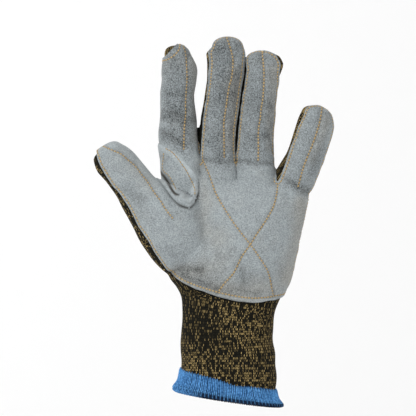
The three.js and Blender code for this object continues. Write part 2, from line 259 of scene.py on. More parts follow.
@dataclass(frozen=True)
class Limb:
    """A limb of the hand as sections across it, in millimetres.

    Each row is an oval: left x, left z, right x, right z, front y, back y. A row of wrap says where the
    leather ends: the share along the limb, how far its edge stands behind the limb's middle on the
    left and on the right, and how far inside the edge its stitches run.
    """

    name: str
    rows: tuple[tuple[float, ...], ...]
    tip: float
    wrap: tuple[tuple[float, float, float, float], ...]
    wales: int
    sides: int = 48
    rings: int = 40

    def frames(self, count: int) -> dict[str, Array]:
        """Return the middles, cross directions, half widths and half depths of smooth sections."""
        place = np.linspace(0, len(self.rows) - 1, count)
        start = np.minimum(place.astype(int), len(self.rows) - 2)
        rows = spline(np.array(self.rows), start, (place - start)[:, None])
        left, right = rows[:, 0:2], rows[:, 2:4]
        middle = (left + right) / 2
        width = np.linalg.norm(right - left, axis=1)
        return {
            "middle": np.column_stack([middle[:, 0], rows[:, 4:6].mean(axis=1), middle[:, 1]]),
            "across": (right - left) / width[:, None],
            "half_width": width / 2,
            "half_depth": (rows[:, 5] - rows[:, 4]) / 2,
        }

    def skin_rings(self) -> Array:
        """Return the skin's points in millimetres, as rings that close to a point at both ends."""
        f = self.frames(self.rings)
        along = unit(f["middle"][-1] - f["middle"][-2])
        reach = self.tip + SKIN_GROW
        turns = np.linspace(0, math.pi / 2, TIP_RINGS + 1)[1:]
        dome = [f["middle"][-1] + along * reach * math.sin(t) for t in turns]
        shrink = [0.0] + [1.0] * self.rings + [math.cos(t) ** (2 / OVAL_POWER) for t in turns[:-1]] + [0.0]
        angle = np.arange(self.sides) / self.sides * 2 * math.pi
        side, depth = oval(np.cos(angle)), oval(np.sin(angle))
        rings = []
        for k, (middle, size) in enumerate(zip([f["middle"][0], *f["middle"], *dome], shrink)):
            at = min(max(k - 1, 0), self.rings - 1)
            across = np.array([f["across"][at][0], 0, f["across"][at][1]])
            wide = (f["half_width"][at] + SKIN_GROW) * size
            deep = (f["half_depth"][at] + SKIN_GROW) * size
            ring = middle + np.outer(side * wide, across)
            ring[:, 1] += depth * deep
            rings.append(ring)
        return np.array(rings)


@dataclass(frozen=True)
class Ridge:
    """A soft ridge beside a line, or a groove where its height is below zero, in millimetres."""

    height: float
    width: float
    centre: float = 0.0

    def at(self, away: Array) -> Array:
        """Return its height at distances from the line."""
        return self.height * bell(away - self.centre, self.width)


# How the leather rises and sinks beside its seams, its edge rows and the patch's fold, and how much
# shade is painted there and under the patch's rim.
SEAM_GROOVE = Ridge(-0.5, 1.0)
SEAM_SHOULDER = Ridge(0.3, 1.6, 3.0)
SEAM_SHADE = Ridge(0.3, 0.8)
ROW_GROOVE = Ridge(-0.3, 0.8)
ROW_SHOULDER = Ridge(0.25, 1.5, -2.6)
ROW_SHADE = Ridge(0.15, 0.8)
LEATHER_FOLD = Ridge(-1.3, 1.5)
FOLD_SHADE = Ridge(1.6, 0.85)
UNDER_PATCH = Ridge(1.0, 0.9)

# The same for the patch, beside its rim, its outline and its fold: painted shade along its rim and
# a painted highlight along its rolled band.
PATCH_ROLL = Ridge(1.7, 1.7, 2.4)
PATCH_GROOVE = Ridge(-0.5, 0.5, 1.9)
PATCH_DIP = Ridge(-1.6, 1.1)
PATCH_SHOULDER = Ridge(0.6, 1.8, 3.4)
PATCH_TUCK = Ridge(-0.9, 0.8)
PATCH_RIM_SHADE = Ridge(0.8, 0.5)
PATCH_GROOVE_SHADE = Ridge(0.3, 0.35, 1.9)
PATCH_HIGHLIGHT = Ridge(0.22, 2.4, 3)

# A crease's shoulder and its shade: shares of its depth, and their place and width in its half widths.
CREASE_SHOULDER, CREASE_SHOULDER_PLACE = 0.4, 2.1
CREASE_SHADE, CREASE_SHADE_WIDTH = 0.3, 0.7

# How steeply the relief fades towards the sides, the leather's own paleness, the height in millimetres
# below which its heel curls up, how fast it does, and the half width of a valley between two fingers.
FRONT_FADE = 1.6
BASE_TONE = 0.555
HEEL_TOP, HEEL_FADE = 96, 12
VALLEY_WIDTH = 2.2

# Where the patch's fold ends, where its rim turns from the thumb to the index, and from which heights
# down its two sides are shaded. Then the fewest points that a row of stitches has.
FOLD_END_X, RIM_MIDDLE_X, THUMB_RIM_Z, INDEX_RIM_Z = -33.5, -32, 141, 149
SHORTEST_ROW = 20

TRUNK = Limb("hand", (
    (-34.2, 12, 34.6, -4, -24, 24), (-34.2, 20.9, 34.6, 5.5, -24, 24), (-33.7, 34.6, 34.3, 25.9, -24.5, 24),
    (-33.2, 49, 32.2, 46.1, -23.5, 23), (-32.8, 61.9, 33.6, 61.9, -22.5, 22.5),
    (-33.2, 72, 37.8, 72.7, -22.5, 22), (-36.6, 79.9, 40.8, 80.6, -23, 22),
    (-42.4, 87.8, 44.2, 88.8, -24, 21.5), (-46, 102.2, 47.8, 103.7, -24.5, 20.5),
    (-46.8, 118.8, 51.4, 121, -22.5, 19), (-47.5, 135.4, 54.6, 135.4, -19.5, 17.5),
    (-46.2, 149, 56.6, 143, -16.5, 15), (-44, 158, 55.4, 147.6, -13, 12), (-41, 163, 49, 149.4, -9, 8),
), tip=3, wrap=((0, 0, 0.2, 2.6), (0.46, 0, 0, 2.6), (0.54, 0, -0.9, 1.4), (1, 0, -0.9, 1.4)),
   wales=112, sides=96, rings=64)
INDEX = Limb("index", (
    (-43, 146, -19, 146, -13.5, 12.5), (-45, 160, -19.6, 160, -14, 11.5), (-45.7, 172, -20.6, 172, -13.5, 10),
    (-47.9, 187.2, -23.5, 187.2, -13.5, 7.5), (-47, 201.6, -24.9, 201.6, -14.5, 6),
    (-46.7, 217, -26.1, 217, -16, 3.8), (-45.6, 228, -24.4, 228, -17.2, 1.8),
    (-46, 237, -24, 237, -18.3, -0.2), (-45.2, 246, -28.2, 246, -19, -2.5),
), tip=7.4, wrap=((0, 4, 2, 1.4), (0.9, 4, 3, 1.4), (1, 4, 3, 3.6)), wales=40)
MIDDLE = Limb("middle", (
    (-22, 146, 7.5, 146, -13.5, 13), (-20.4, 160, 6.4, 160, -14, 12), (-20, 174, 4.9, 174, -13.5, 10.5),
    (-20.5, 188, 5.9, 188, -13.5, 8.5), (-19.3, 201.6, 7.4, 201.6, -14.5, 7),
    (-17, 216, 8.9, 216, -15.5, 5.5), (-15.2, 229, 10.3, 229, -16.7, 3.2),
    (-14.9, 241, 11.2, 241, -18, 0.6), (-15.4, 248.4, 11, 246.8, -18.7, -0.6),
    (-11.8, 250.4, 10.4, 249.1, -18.8, -1.8), (-10.7, 251.4, 9.8, 250.8, -18.8, -2.4),
), tip=7, wrap=(
    (0, -7.5, -6.6, 1.6), (0.42, -8, -6.8, 1.6), (0.58, -7.6, -6.6, 1.7), (0.7, -7.2, -5.6, 2.2),
    (0.8, -6.6, -4.2, 3), (0.95, -6.6, -2.4, 3), (1, -3, -1.8, 2),
), wales=40)
RING = Limb("ring", (
    (5, 145, 36, 144, -13, 12.5), (5.4, 160, 33, 158, -13.5, 11.5), (5.8, 172, 31.2, 172, -13, 10),
    (6.9, 187.2, 31.2, 187.2, -13, 7.5), (8.6, 201.6, 32.2, 201.6, -14, 6), (10.2, 216, 33.6, 216, -15, 4),
    (12.2, 227.5, 35.4, 227.5, -16.5, 2), (13.3, 237.6, 39.4, 239, -17.5, 0),
    (13.8, 242.8, 38.2, 243.2, -18, -2),
), tip=5.4, wrap=(
    (0, -6.8, -3, 1.6), (0.5, -6.4, -2, 1.6), (0.84, -5.4, -2.2, 1.6), (0.93, -5, -5.6, 1.8),
    (1, -2.4, -7.4, 1.6),
), wales=36)
LITTLE = Limb("little", (
    (26, 144, 48, 137, -11, 10.5), (32, 158, 58.6, 150, -12, 10.5), (36.6, 167, 62.8, 159.5, -12, 9),
    (41.6, 175, 65.8, 167.5, -11.5, 7.5), (45.4, 184.3, 69.2, 177.1, -12, 6),
    (47.8, 193, 72.2, 185.8, -13, 4), (50.6, 201, 74.2, 194, -14, 1.5), (53, 206.4, 73.6, 200.4, -14.5, 0),
), tip=6, wrap=((0, -8, -0.9, 1.6), (0.4, -7, -0.9, 1.6), (1, -6.4, -0.6, 1.5)), wales=36)
THUMB = Limb("thumb", (
    (-40, 86.5, -8, 99, -14, 10), (-48.8, 94, -9, 111.6, -22, 11), (-56.2, 102.2, -13.7, 126, -27, 10.5),
    (-61.9, 110.9, -20.9, 138.2, -29, 9), (-66.2, 119.5, -32.4, 145.6, -29, 6),
    (-70.6, 128.2, -42.2, 150.5, -28.5, 2), (-75.6, 136.8, -52.4, 156.6, -28, -2),
    (-79.9, 145.4, -58.6, 163, -28, -4), (-85.6, 154, -64.4, 169.8, -28.5, -5.5),
    (-93, 162.4, -71, 176.8, -29, -7), (-96.2, 170.5, -79.2, 182.2, -28, -9),
), tip=3.1, wrap=((0, 1, 4, 1.4), (1, 1, 4, 1.4)), wales=40)
LIMBS = (TRUNK, INDEX, MIDDLE, RING, LITTLE, THUMB)


def oval(value: Array) -> Array:
    """Return one coordinate of a rounded oval, a little squarer than an ellipse."""
    return np.sign(value) * np.abs(value) ** (2 / OVAL_POWER)


def bell(away: Array, width: float) -> Array:
    """Return a soft bump that is 1 at no distance and fades over a half width."""
    return np.exp(-((away / width) ** 2))


def held(value: Array) -> Array:
    """Return a value held between 0 and 1."""
    return np.clip(value, 0, 1)


def unit(vector: Array) -> Array:
    """Return a vector's direction."""
    return vector / np.linalg.norm(vector)


def spline(corners: Array, start: Array, part: Array) -> Array:
    """Return points on a smooth curve through corners.

    Args:
        corners: The corners as rows.
        start: The number of the corner before each point.
        part: Each point's share of the way to the next corner, as a column.
    """
    padded = np.vstack([2 * corners[0] - corners[1], corners, 2 * corners[-1] - corners[-2]])
    a, b, c, d = (padded[start + k] for k in range(4))
    return 0.5 * (2 * b + (c - a) * part + (2 * a - 5 * b + 4 * c - d) * part**2
                  + (3 * b - a - 3 * c + d) * part**3)


def along_of(line: Array) -> Array:
    """Return each point's distance along a line from its start."""
    return np.concatenate([[0], np.cumsum(np.linalg.norm(np.diff(line, axis=0), axis=1))])


def even_steps(line: Array, step: float) -> Array:
    """Return a line's points again at even steps along it."""
    along = along_of(line)
    wanted = np.linspace(0, along[-1], max(2, int(round(along[-1] / step)) + 1))
    return np.column_stack([np.interp(wanted, along, line[:, k]) for k in range(line.shape[1])])


def smooth_line(line: Points, step: float) -> Array:
    """Return a smooth curve through a line's corners, with a point every step in the corners' unit."""
    corners = np.array(line, float)
    count = len(corners) - 1
    part = np.tile(np.linspace(0, 1, CURVE_STEPS, endpoint=False), count)[:, None]
    curve = spline(corners, np.repeat(np.arange(count), CURVE_STEPS), part)
    return even_steps(np.vstack([curve, corners[-1:]]), step)


def from_segment(points: Array, start: Spot, end: Spot) -> Row:
    """Return how far points lie from a segment, and their share of the way along it."""
    span = np.subtract(end, start)
    part = held(((points - start) @ span) / (span @ span))
    return np.linalg.norm(points - start - part[:, None] * span, axis=1), part


def polyline_distance(points: Array, line: Points) -> Array:
    """Return how far points of x and z lie from an open line."""
    best = np.full(len(points), FAR)
    for start, end in zip(line, line[1:]):
        best = np.minimum(best, from_segment(points, start, end)[0])
    return best


def outline_distance(points: Array, *lines: Points) -> Array:
    """Return how far points lie outside the outline that lines make, less than zero inside it."""
    outline = np.vstack([*lines, lines[0][:1]])
    away = polyline_distance(points, outline)
    inside = np.zeros(len(points), bool)
    for (x0, z0), (x1, z1) in zip(outline, outline[1:]):
        if z0 == z1:
            continue
        crosses = (z0 > points[:, 1]) != (z1 > points[:, 1])
        inside ^= crosses & (points[:, 0] < (x1 - x0) * (points[:, 1] - z0) / (z1 - z0) + x0)
    return np.where(inside, -away, away)


def slit_depth(points: Array, start: Spot, end: Spot, narrow: float, wide: float) -> Array:
    """Return how far points lie inside a slit, less than zero outside it.

    Args:
        points: Rows of x and z in millimetres.
        start: The slit's narrow end.
        end: The slit's wide end.
        narrow: Half the slit's width at its start.
        wide: Half the slit's width at its end.
    """
    away, part = from_segment(points, start, end)
    return narrow + (wide - narrow) * part - away


def front_of(out: Array) -> Array:
    """Return how much surfaces with these normals belong to the palm's side."""
    return held(-out[:, 1] * FRONT_FADE)


def ruffle(points: Array, scale: float, seed: float) -> Array:
    """Return smooth noise from about -1 to 1 at points in millimetres, one wave every scale."""
    return np.array([noise.noise(Vector(p) / scale + Vector((seed, seed * 2, 0))) for p in points]) * 1.6


def band_sum(points: Array, bands: Bands) -> Array:
    """Return the sum of soft bands at points in millimetres, as seen on the palm."""
    total = np.zeros(len(points))
    for *line, width, amount in bands:
        total += amount * bell(polyline_distance(points[:, [0, 2]], np.reshape(line, (-1, 2))), width)
    return total


def fold_distance(seen: Array) -> Array:
    """Return how far points seen at x and z in millimetres lie from the patch's fold."""
    return polyline_distance(seen, smooth_line(PATCH_FOLD, 1))


def fold_shade(seen: Array) -> Array:
    """Return how dark the patch's fold leaves points seen at x and z, fading towards the index."""
    return FOLD_SHADE.at(fold_distance(seen)) * held((FOLD_END_X - seen[:, 0]) / 4)


def rim_shade(seen: Array) -> Array:
    """Return how strongly the patch's rim is shaded at x and z: mostly at its lower end."""
    thumb_side = 0.34 + 0.6 * held((THUMB_RIM_Z - seen[:, 1]) / 3)
    index_side = 0.95 * held((INDEX_RIM_Z - seen[:, 1]) / 4)
    return np.where(seen[:, 0] < RIM_MIDDLE_X, thumb_side, index_side)


def make_active(*pieces: Piece) -> None:
    """Select only these pieces, because operators act on all that is selected, and activate the first."""
    for piece in bpy.context.view_layer.objects:
        piece.select_set(piece in pieces)
    if pieces:
        bpy.context.view_layer.objects.active = pieces[0]


def apply_modifier(piece: Piece, kind: str, **settings: object) -> None:
    """Add a modifier to a piece and apply it.

    Args:
        piece: The object that is changed.
        kind: The modifier's type.
        **settings: The modifier's own settings.
    """
    make_active(piece)
    modifier = piece.modifiers.new(kind.lower(), kind)
    for name, value in settings.items():
        setattr(modifier, name, value)
    bpy.ops.object.modifier_apply(modifier=modifier.name)


def edit_all(piece: Piece, *steps: Callable[[], object]) -> None:
    """Run mesh operators on all of a piece in edit mode."""
    make_active(piece)
    bpy.ops.object.mode_set(mode="EDIT")
    bpy.ops.mesh.select_all(action="SELECT")
    for step in steps:
        step()
    bpy.ops.object.mode_set(mode="OBJECT")


def weld_points() -> None:
    """Join the points that lie together."""
    bpy.ops.mesh.remove_doubles(threshold=WELD)


def face_outward() -> None:
    """Turn every face outward."""
    bpy.ops.mesh.normals_make_consistent(inside=False)


def smooth_shading(piece: Piece, angle: float) -> None:
    """Shade a piece smooth up to an angle in degrees."""
    make_active(piece)
    bpy.ops.object.shade_smooth_by_angle(angle=math.radians(angle))


def read_rows(items: bpy.types.bpy_prop_collection, name: str, kind: type = float,
              width: int = 3) -> Array:
    """Return one property of a mesh's items, as rows of a width or as single numbers."""
    flat = np.empty(len(items) * width, kind)
    items.foreach_get(name, flat)
    return flat if width == 1 else flat.reshape(-1, width)


def places(piece: Piece) -> Array:
    """Return a mesh's points as rows of x, y and z."""
    return read_rows(piece.data.vertices, "co")


def normals(piece: Piece) -> Array:
    """Return a mesh's point normals as rows of x, y and z."""
    return read_rows(piece.data.vertex_normals, "vector")


def move_points(piece: Piece, points: Array) -> None:
    """Put a mesh's points at new places."""
    piece.data.vertices.foreach_set("co", points.ravel())
    piece.data.update()


def keep_numbers(piece: Piece, name: str, value: Array) -> None:
    """Keep a number for each point of a mesh."""
    layer = piece.data.attributes.new(name, "FLOAT", "POINT")
    layer.data.foreach_set("value", value.astype(np.float32))


def new_piece(name: str, data: bpy.types.ID) -> Piece:
    """Return a new object in the scene."""
    piece = bpy.data.objects.new(name, data)
    bpy.context.scene.collection.objects.link(piece)
    return piece


def mesh_piece(name: str, points: Array, faces: Sequence[tuple[int, ...]]) -> Piece:
    """Return a new object of points in metres and of faces."""
    mesh = bpy.data.meshes.new(name)
    mesh.from_pydata(points.tolist(), [], faces)
    return new_piece(name, mesh)


def rolled_grid(name: str, rings: Array) -> Piece:
    """Roll a grid into a closed tube.

    Args:
        name: The new object's name.
        rings: Rings of points in metres, each with its first point again at its end.
    """
    rows, columns = rings.shape[:2]
    make_active()
    bpy.ops.mesh.primitive_grid_add(x_subdivisions=columns - 1, y_subdivisions=rows - 1, size=1)
    tube = bpy.context.active_object
    tube.name = name
    move_points(tube, rings.reshape(-1, 3))
    edit_all(tube, weld_points, face_outward)
    return tube


@contextmanager
def opened(piece: Piece) -> Iterator[EditMesh]:
    """Lend a piece's mesh for editing, and put it back."""
    mesh = bmesh.new()
    mesh.from_mesh(piece.data)
    mesh.verts.ensure_lookup_table()
    yield mesh
    mesh.to_mesh(piece.data)
    mesh.free()


def tree_of(piece: Piece) -> BVHTree:
    """Return a search tree of a piece's faces."""
    return BVHTree.FromPolygons(
        [tuple(p) for p in places(piece)], [tuple(f.vertices) for f in piece.data.polygons])


def on_surface(piece: Piece, line: Array) -> Row:
    """Put a line on a piece's nearest surface and return it with the normals there."""
    tree = tree_of(piece)
    hits = [tree.find_nearest(Vector(p)) for p in line]
    return np.array([h[0] for h in hits]), np.array([h[1] for h in hits])


def from_the_front(piece: Piece, seam: Points) -> Row:
    """Drop a seam drawn on the palm in millimetres onto a piece, and return it with the normals there."""
    tree = tree_of(piece)
    line = smooth_line(seam, 0.8) * MM
    hits = [tree.ray_cast(Vector((x, IN_FRONT, z)), Vector((0, 1, 0))) for x, z in line]
    found = [hit for hit in hits if hit[0] is not None]
    return np.array([hit[0] for hit in found]), np.array([hit[1] for hit in found])


def contour(piece: Piece, value: Array) -> list[Array]:
    """Trace the lines where a value is zero on a mesh.

    Args:
        piece: The mesh's object.
        value: One number a point.

    Returns:
        Lines of points, longest first.
    """
    piece.data.calc_loop_triangles()
    triangles = read_rows(piece.data.loop_triangles, "vertices", int)
    points = places(piece)
    above = value[triangles] > 0
    links: dict[tuple[int, int], list[tuple[int, int]]] = {}
    for triangle in triangles[above.any(axis=1) & ~above.all(axis=1)]:
        sides = [tuple(sorted((int(triangle[k]), int(triangle[(k + 1) % 3])))) for k in range(3)]
        first, second = [(a, b) for a, b in sides if (value[a] > 0) != (value[b] > 0)]
        links.setdefault(first, []).append(second)
        links.setdefault(second, []).append(first)

    def place(edge: tuple[int, int]) -> Array:
        """Return where an edge crosses zero."""
        a, b = edge
        part = value[a] / (value[a] - value[b])
        return points[a] + part * (points[b] - points[a])

    lines = []
    unseen = set(links)
    for start in [edge for edge, others in links.items() if len(others) == 1] + list(links):
        if start not in unseen:
            continue
        unseen.remove(start)
        line = [start]
        while True:
            following = [edge for edge in links[line[-1]] if edge in unseen]
            if not following:
                break
            unseen.remove(following[0])
            line.append(following[0])
        if start in links[line[-1]] and len(line) > 3:
            line.append(start)
        lines.append(np.array([place(edge) for edge in line]))
    return sorted(lines, key=len, reverse=True)


class HandSkin:
    """The filled glove's outer skin, and each point's place along and round its limb."""

    def __init__(self) -> None:
        """Keep the limbs' middle lines and their lengths for the lookups."""
        self.lines = [limb.frames(MAP_SECTIONS) for limb in LIMBS]
        steps = [np.diff(line["middle"][:, [0, 2]], axis=0) for line in self.lines]
        self.lengths = [np.linalg.norm(step, axis=1).sum() for step in steps]

    def build(self, name: str, voxel: float, rounds: int) -> Piece:
        """Make the skin as one closed mesh of the six limbs.

        Args:
            name: The new object's name.
            voxel: The size of its faces, in metres.
            rounds: How often it is smoothed.
        """
        tubes = [self.limb_tube(limb) for limb in LIMBS]
        make_active(*tubes)
        bpy.ops.object.join()
        skin = tubes[0]
        skin.name = name
        skin.data.remesh_voxel_size = voxel
        skin.data.remesh_voxel_adaptivity = 0
        bpy.ops.object.voxel_remesh()
        apply_modifier(skin, "SMOOTH", factor=0.5, iterations=rounds)
        return skin

    def limb_tube(self, limb: Limb) -> Piece:
        """Make one limb's closed tube."""
        rings = limb.skin_rings() * MM
        return rolled_grid(limb.name, np.concatenate([rings, rings[:, :1]], axis=1))

    def on_limb(self, points: Array, index: int) -> dict[str, Array]:
        """Look up points against one limb.

        Args:
            points: Rows of x, y and z in millimetres.
            index: The limb's place in LIMBS.

        Returns:
            along (millimetres from the limb's start), side and depth (1 at the skin), past (how far past
            an end a point lies), middle_y, and reach (how far out a point lies, 1 at the skin).
        """
        f = self.lines[index]
        xz = f["middle"][:, [0, 2]]
        steps = np.diff(xz, axis=0)
        lengths = np.linalg.norm(steps, axis=1)
        starts = along_of(xz)
        best = np.full(len(points), FAR)
        found = {key: np.zeros(len(points)) for key in ("along", "side", "depth", "past", "middle_y")}
        for k, (step, length) in enumerate(zip(steps, lengths)):
            away = points[:, [0, 2]] - xz[k]
            direction = step / length
            run = away @ direction
            part = held(run / length)
            gap = np.linalg.norm(away - part[:, None] * step, axis=1)
            middle_y, half_width, half_depth = (
                row[k] + (row[k + 1] - row[k]) * part
                for row in (f["middle"][:, 1], f["half_width"], f["half_depth"]))
            looks = {
                "along": starts[k] + part * length,
                "side": away @ np.array([direction[1], -direction[0]]) / half_width,
                "depth": (points[:, 1] - middle_y) / half_depth,
                "past": np.maximum(np.maximum(run - length, -run), 0) if k in (0, len(steps) - 1) else 0.0,
                "middle_y": middle_y,
            }
            found = {key: np.where(gap < best, looks[key], found[key]) for key in found}
            best = np.minimum(best, gap)
        past = found["past"] / (LIMBS[index].tip + TIP_SLACK)
        found["reach"] = np.sqrt(found["side"] ** 2 + found["depth"] ** 2 + past**2)
        return found

    def leather_edge(self, points: Array) -> Row:
        """Return the y where the leather ends beside each point, and how far inside it the stitches run."""
        edge, rim, weights = np.zeros((3, len(points)))
        looks = [self.on_limb(points, k) for k in range(len(LIMBS))]
        nearest = np.min([look["reach"] for look in looks], axis=0)
        for limb, look, length in zip(LIMBS, looks, self.lengths):
            weight = bell(look["reach"] - nearest, LIMB_BLEND)
            shares, *columns = np.array(limb.wrap).T
            left, right, inset = (np.interp(look["along"] / length, shares, column) for column in columns)
            edge += weight * (look["middle_y"] + left + (right - left) * held((look["side"] + 1) / 2))
            rim += weight * inset
            weights += weight
        return edge / weights, rim / weights


class Sheet:
    """A wall of leather cut from the hand's skin along a field's zero line."""

    def __init__(self, skin: Piece, name: str) -> None:
        """Start a sheet as a copy of the skin with a mesh of its own."""
        self.piece = new_piece(name, skin.data.copy())
        self.piece.data.name = name

    def cut(self, distance: Callable[[Array], Array]) -> Piece:
        """Keep the part of the mesh where a distance is below zero, with a clean edge.

        Args:
            distance: Gives each point's distance outside the sheet, in millimetres.
        """
        with opened(self.piece) as mesh:
            self.cut_edge(mesh, distance)
        with opened(self.piece) as mesh:
            self.keep_largest(mesh)
        with opened(self.piece) as mesh:
            self.smooth_rim(mesh)
        return self.piece

    def cut_edge(self, mesh: EditMesh, distance: Callable[[Array], Array]) -> None:
        """Move the nearest points onto the zero line, split the faces along it and drop the outer ones."""
        points = np.array([v.co for v in mesh.verts])
        value = distance(points / MM)
        pairs = np.array([(e.verts[0].index, e.verts[1].index) for e in mesh.edges])
        a, b = pairs[(value[pairs[:, 0]] < 0) != (value[pairs[:, 1]] < 0)].T
        part = value[a] / (value[a] - value[b])
        near = np.where(part < 0.5, a, b)
        target = points[a] + part[:, None] * (points[b] - points[a])
        for k in np.argsort(-np.minimum(part, 1 - part)):
            mesh.verts[near[k]].co = target[k]
            value[near[k]] = 0.0
        split = []
        for face in mesh.faces:
            signs = [value[v.index] for v in face.verts]
            zeros = [v for v, sign in zip(face.verts, signs) if sign == 0]
            if len(signs) == 4 and min(signs) < 0 < max(signs) and len(zeros) == 2:
                split.append((face, *zeros))
        for face, first, second in split:
            bmesh.utils.face_split(face, first, second)
        outside = [face for face in mesh.faces if max(value[v.index] for v in face.verts) > 0]
        bmesh.ops.delete(mesh, geom=outside, context="FACES")

    def keep_largest(self, mesh: EditMesh) -> None:
        """Delete every loose island of the mesh but its largest."""
        unseen = set(mesh.verts)
        islands = []
        while unseen:
            island, open_ends = set(), [unseen.pop()]
            while open_ends:
                vertex = open_ends.pop()
                island.add(vertex)
                beside = {edge.other_vert(vertex) for edge in vertex.link_edges} & unseen
                unseen -= beside
                open_ends.extend(beside)
            islands.append(island)
        largest = max(islands, key=len)
        spare = [v for island in islands if island is not largest for v in island]
        bmesh.ops.delete(mesh, geom=spare, context="VERTS")

    def smooth_rim(self, mesh: EditMesh, rounds: int = 4) -> None:
        """Even out the steps that the cut left along the rim."""
        rim = [v for v in mesh.verts if v.is_boundary]
        for _ in range(rounds):
            moved = {}
            for vertex in rim:
                ends = [e.other_vert(vertex).co for e in vertex.link_edges if e.is_boundary]
                if len(ends) == 2:
                    moved[vertex] = vertex.co.lerp((ends[0] + ends[1]) / 2, 0.5)
            for vertex, place in moved.items():
                vertex.co = place


Value = Union[float, "Signal"]


def maths(operation: str, flipped: bool = False) -> Callable[..., "Signal"]:
    """Return a signal's method that adds one Math node.

    Args:
        operation: The node's operation.
        flipped: Whether the signal is the second value, as in a reflected form.
    """
    def method(signal: "Signal", other: Value = 0.0) -> "Signal":
        """Return the node's result on the signal and another value."""
        pair = (other, signal) if flipped else (signal, other)
        node = signal.maker.add("ShaderNodeMath", {"operation": operation}, dict(enumerate(pair)))
        return Signal(signal.maker, node.outputs[0])
    return method


class Signal:
    """A value that changes over a surface: arithmetic on it adds Math nodes."""

    def __init__(self, maker: "NodeMaker", socket: Socket) -> None:
        """Wrap an output socket."""
        self.maker = maker
        self.socket = socket

    __add__ = __radd__ = maths("ADD")
    __sub__ = maths("SUBTRACT")
    __rsub__ = maths("SUBTRACT", flipped=True)
    __mul__ = __rmul__ = maths("MULTIPLY")
    __truediv__ = maths("DIVIDE")
    __gt__ = maths("GREATER_THAN")
    fraction = maths("FRACT")
    floor = maths("FLOOR")
    size = maths("ABSOLUTE")
    power = maths("POWER")
    at_least = maths("MAXIMUM")
    at_most = maths("MINIMUM")

    def between(self) -> "Signal":
        """Return the value held between 0 and 1."""
        return self.at_least(0.0).at_most(1.0)


class NodeMaker:
    """One material's node tree, built node by node."""

    def __init__(self, name: str) -> None:
        """Make a material with one Principled surface."""
        self.material = bpy.data.materials.new(name)
        self.material.use_nodes = True
        self.tree = self.material.node_tree
        self.surface = self.tree.nodes["Principled BSDF"]

    def add(self, kind: str, settings: dict[str, object], inputs: dict[object, object]) -> bpy.types.Node:
        """Add a node.

        Args:
            kind: The node's type.
            settings: Its own settings, such as a Math node's operation.
            inputs: Values, signals or sockets, by the input's name or number.
        """
        node = self.tree.nodes.new(kind)
        for name, value in settings.items():
            setattr(node, name, value)
        for key, value in inputs.items():
            self.feed(node.inputs[key], value)
        return node

    def feed(self, socket: Socket, value: object) -> None:
        """Set an input to a number or link it to a signal or a socket."""
        source = value.socket if isinstance(value, Signal) else value
        if isinstance(source, Socket):
            self.tree.links.new(source, socket)
        else:
            socket.default_value = source

    def speckle(self, scale: float, detail: float = 2.0) -> Signal:
        """Return soft noise from 0 to 1 at a scale in repeats a metre."""
        place = self.add("ShaderNodeTexCoord", {}, {}).outputs["Object"]
        inputs = {"Vector": place, "Scale": scale, "Detail": detail, "Roughness": 0.6}
        return Signal(self, self.add("ShaderNodeTexNoise", {}, inputs).outputs["Fac"])

    def attribute(self, name: str) -> Signal:
        """Return a number that the mesh keeps for each point."""
        return Signal(self, self.add("ShaderNodeAttribute", {"attribute_name": name}, {}).outputs["Fac"])

    def blend(self, share: Value, first: object, second: object) -> Socket:
        """Return a colour between two, by a share of the second."""
        return self.add("ShaderNodeMix", {"data_type": "RGBA"}, {0: share, 6: first, 7: second}).outputs[2]

    def bump(self, height: Signal, distance: float, strength: float) -> None:
        """Raise the surface by a height from 0 to 1 times a distance in metres."""
        node = self.add("ShaderNodeBump", {}, {"Height": height, "Distance": distance, "Strength": strength})
        self.set_surface(Normal=node.outputs["Normal"])

    def set_surface(self, **values: object) -> None:
        """Set or link the surface's inputs, with underscores for the spaces in their names."""
        for name, value in values.items():
            self.feed(self.surface.inputs[name.replace("_", " ")], value)


@dataclass(frozen=True)
class Suede:
    """Grey-blue split leather with a short nap, warmer where handled, with painted shade and highlights."""

    light: Colour = (0.50, 0.555, 0.575, 1)
    warm: Colour = (0.51, 0.515, 0.485, 1)
    dark: Colour = (0.03, 0.034, 0.034, 1)
    # The colour of the painted shade in the creases, the grooves and the fold.
    shadow_colour: Colour = (0.05, 0.047, 0.04, 1)
    nap_scale: float = 1200
    fibre_scale: float = 2400
    patch_scale: float = 150
    cloud_scale: float = 34
    handled_scale: float = 48
    depth: float = 0.5 * MM

    def make(self, name: str) -> Material:
        """Return the suede as a material."""
        maker = NodeMaker(name)
        nap = maker.speckle(self.nap_scale)
        patches = maker.speckle(self.patch_scale, 3)
        clouds = maker.speckle(self.cloud_scale)
        # The tone attribute holds the leather's own tone together with painted shade and painted highlights.
        pale = maker.attribute("tone")
        grain = (nap - 0.5) * 1.15 + (patches - 0.5) * 0.3 + (clouds - 0.5) * 0.25
        tone = (grain * (1.65 - pale * 1.2) + pale).between()
        handled = (maker.attribute("warm") + (maker.speckle(self.handled_scale) - 0.5) * 1.2).between()
        base = maker.blend(tone, self.dark, maker.blend(handled, self.light, self.warm))
        # The crease attribute is painted shade, mixed towards the shadow colour.
        crease = (maker.attribute("crease") * 0.9).between()
        maker.set_surface(Base_Color=maker.blend(crease, base, self.shadow_colour), Roughness=0.95,
                          Specular_IOR_Level=0.15, Sheen_Weight=0.2, Sheen_Roughness=0.6)
        maker.bump(nap * 0.7 + maker.speckle(self.fibre_scale) * 0.35 + patches * 0.6, self.depth, 0.8)
        return maker.material


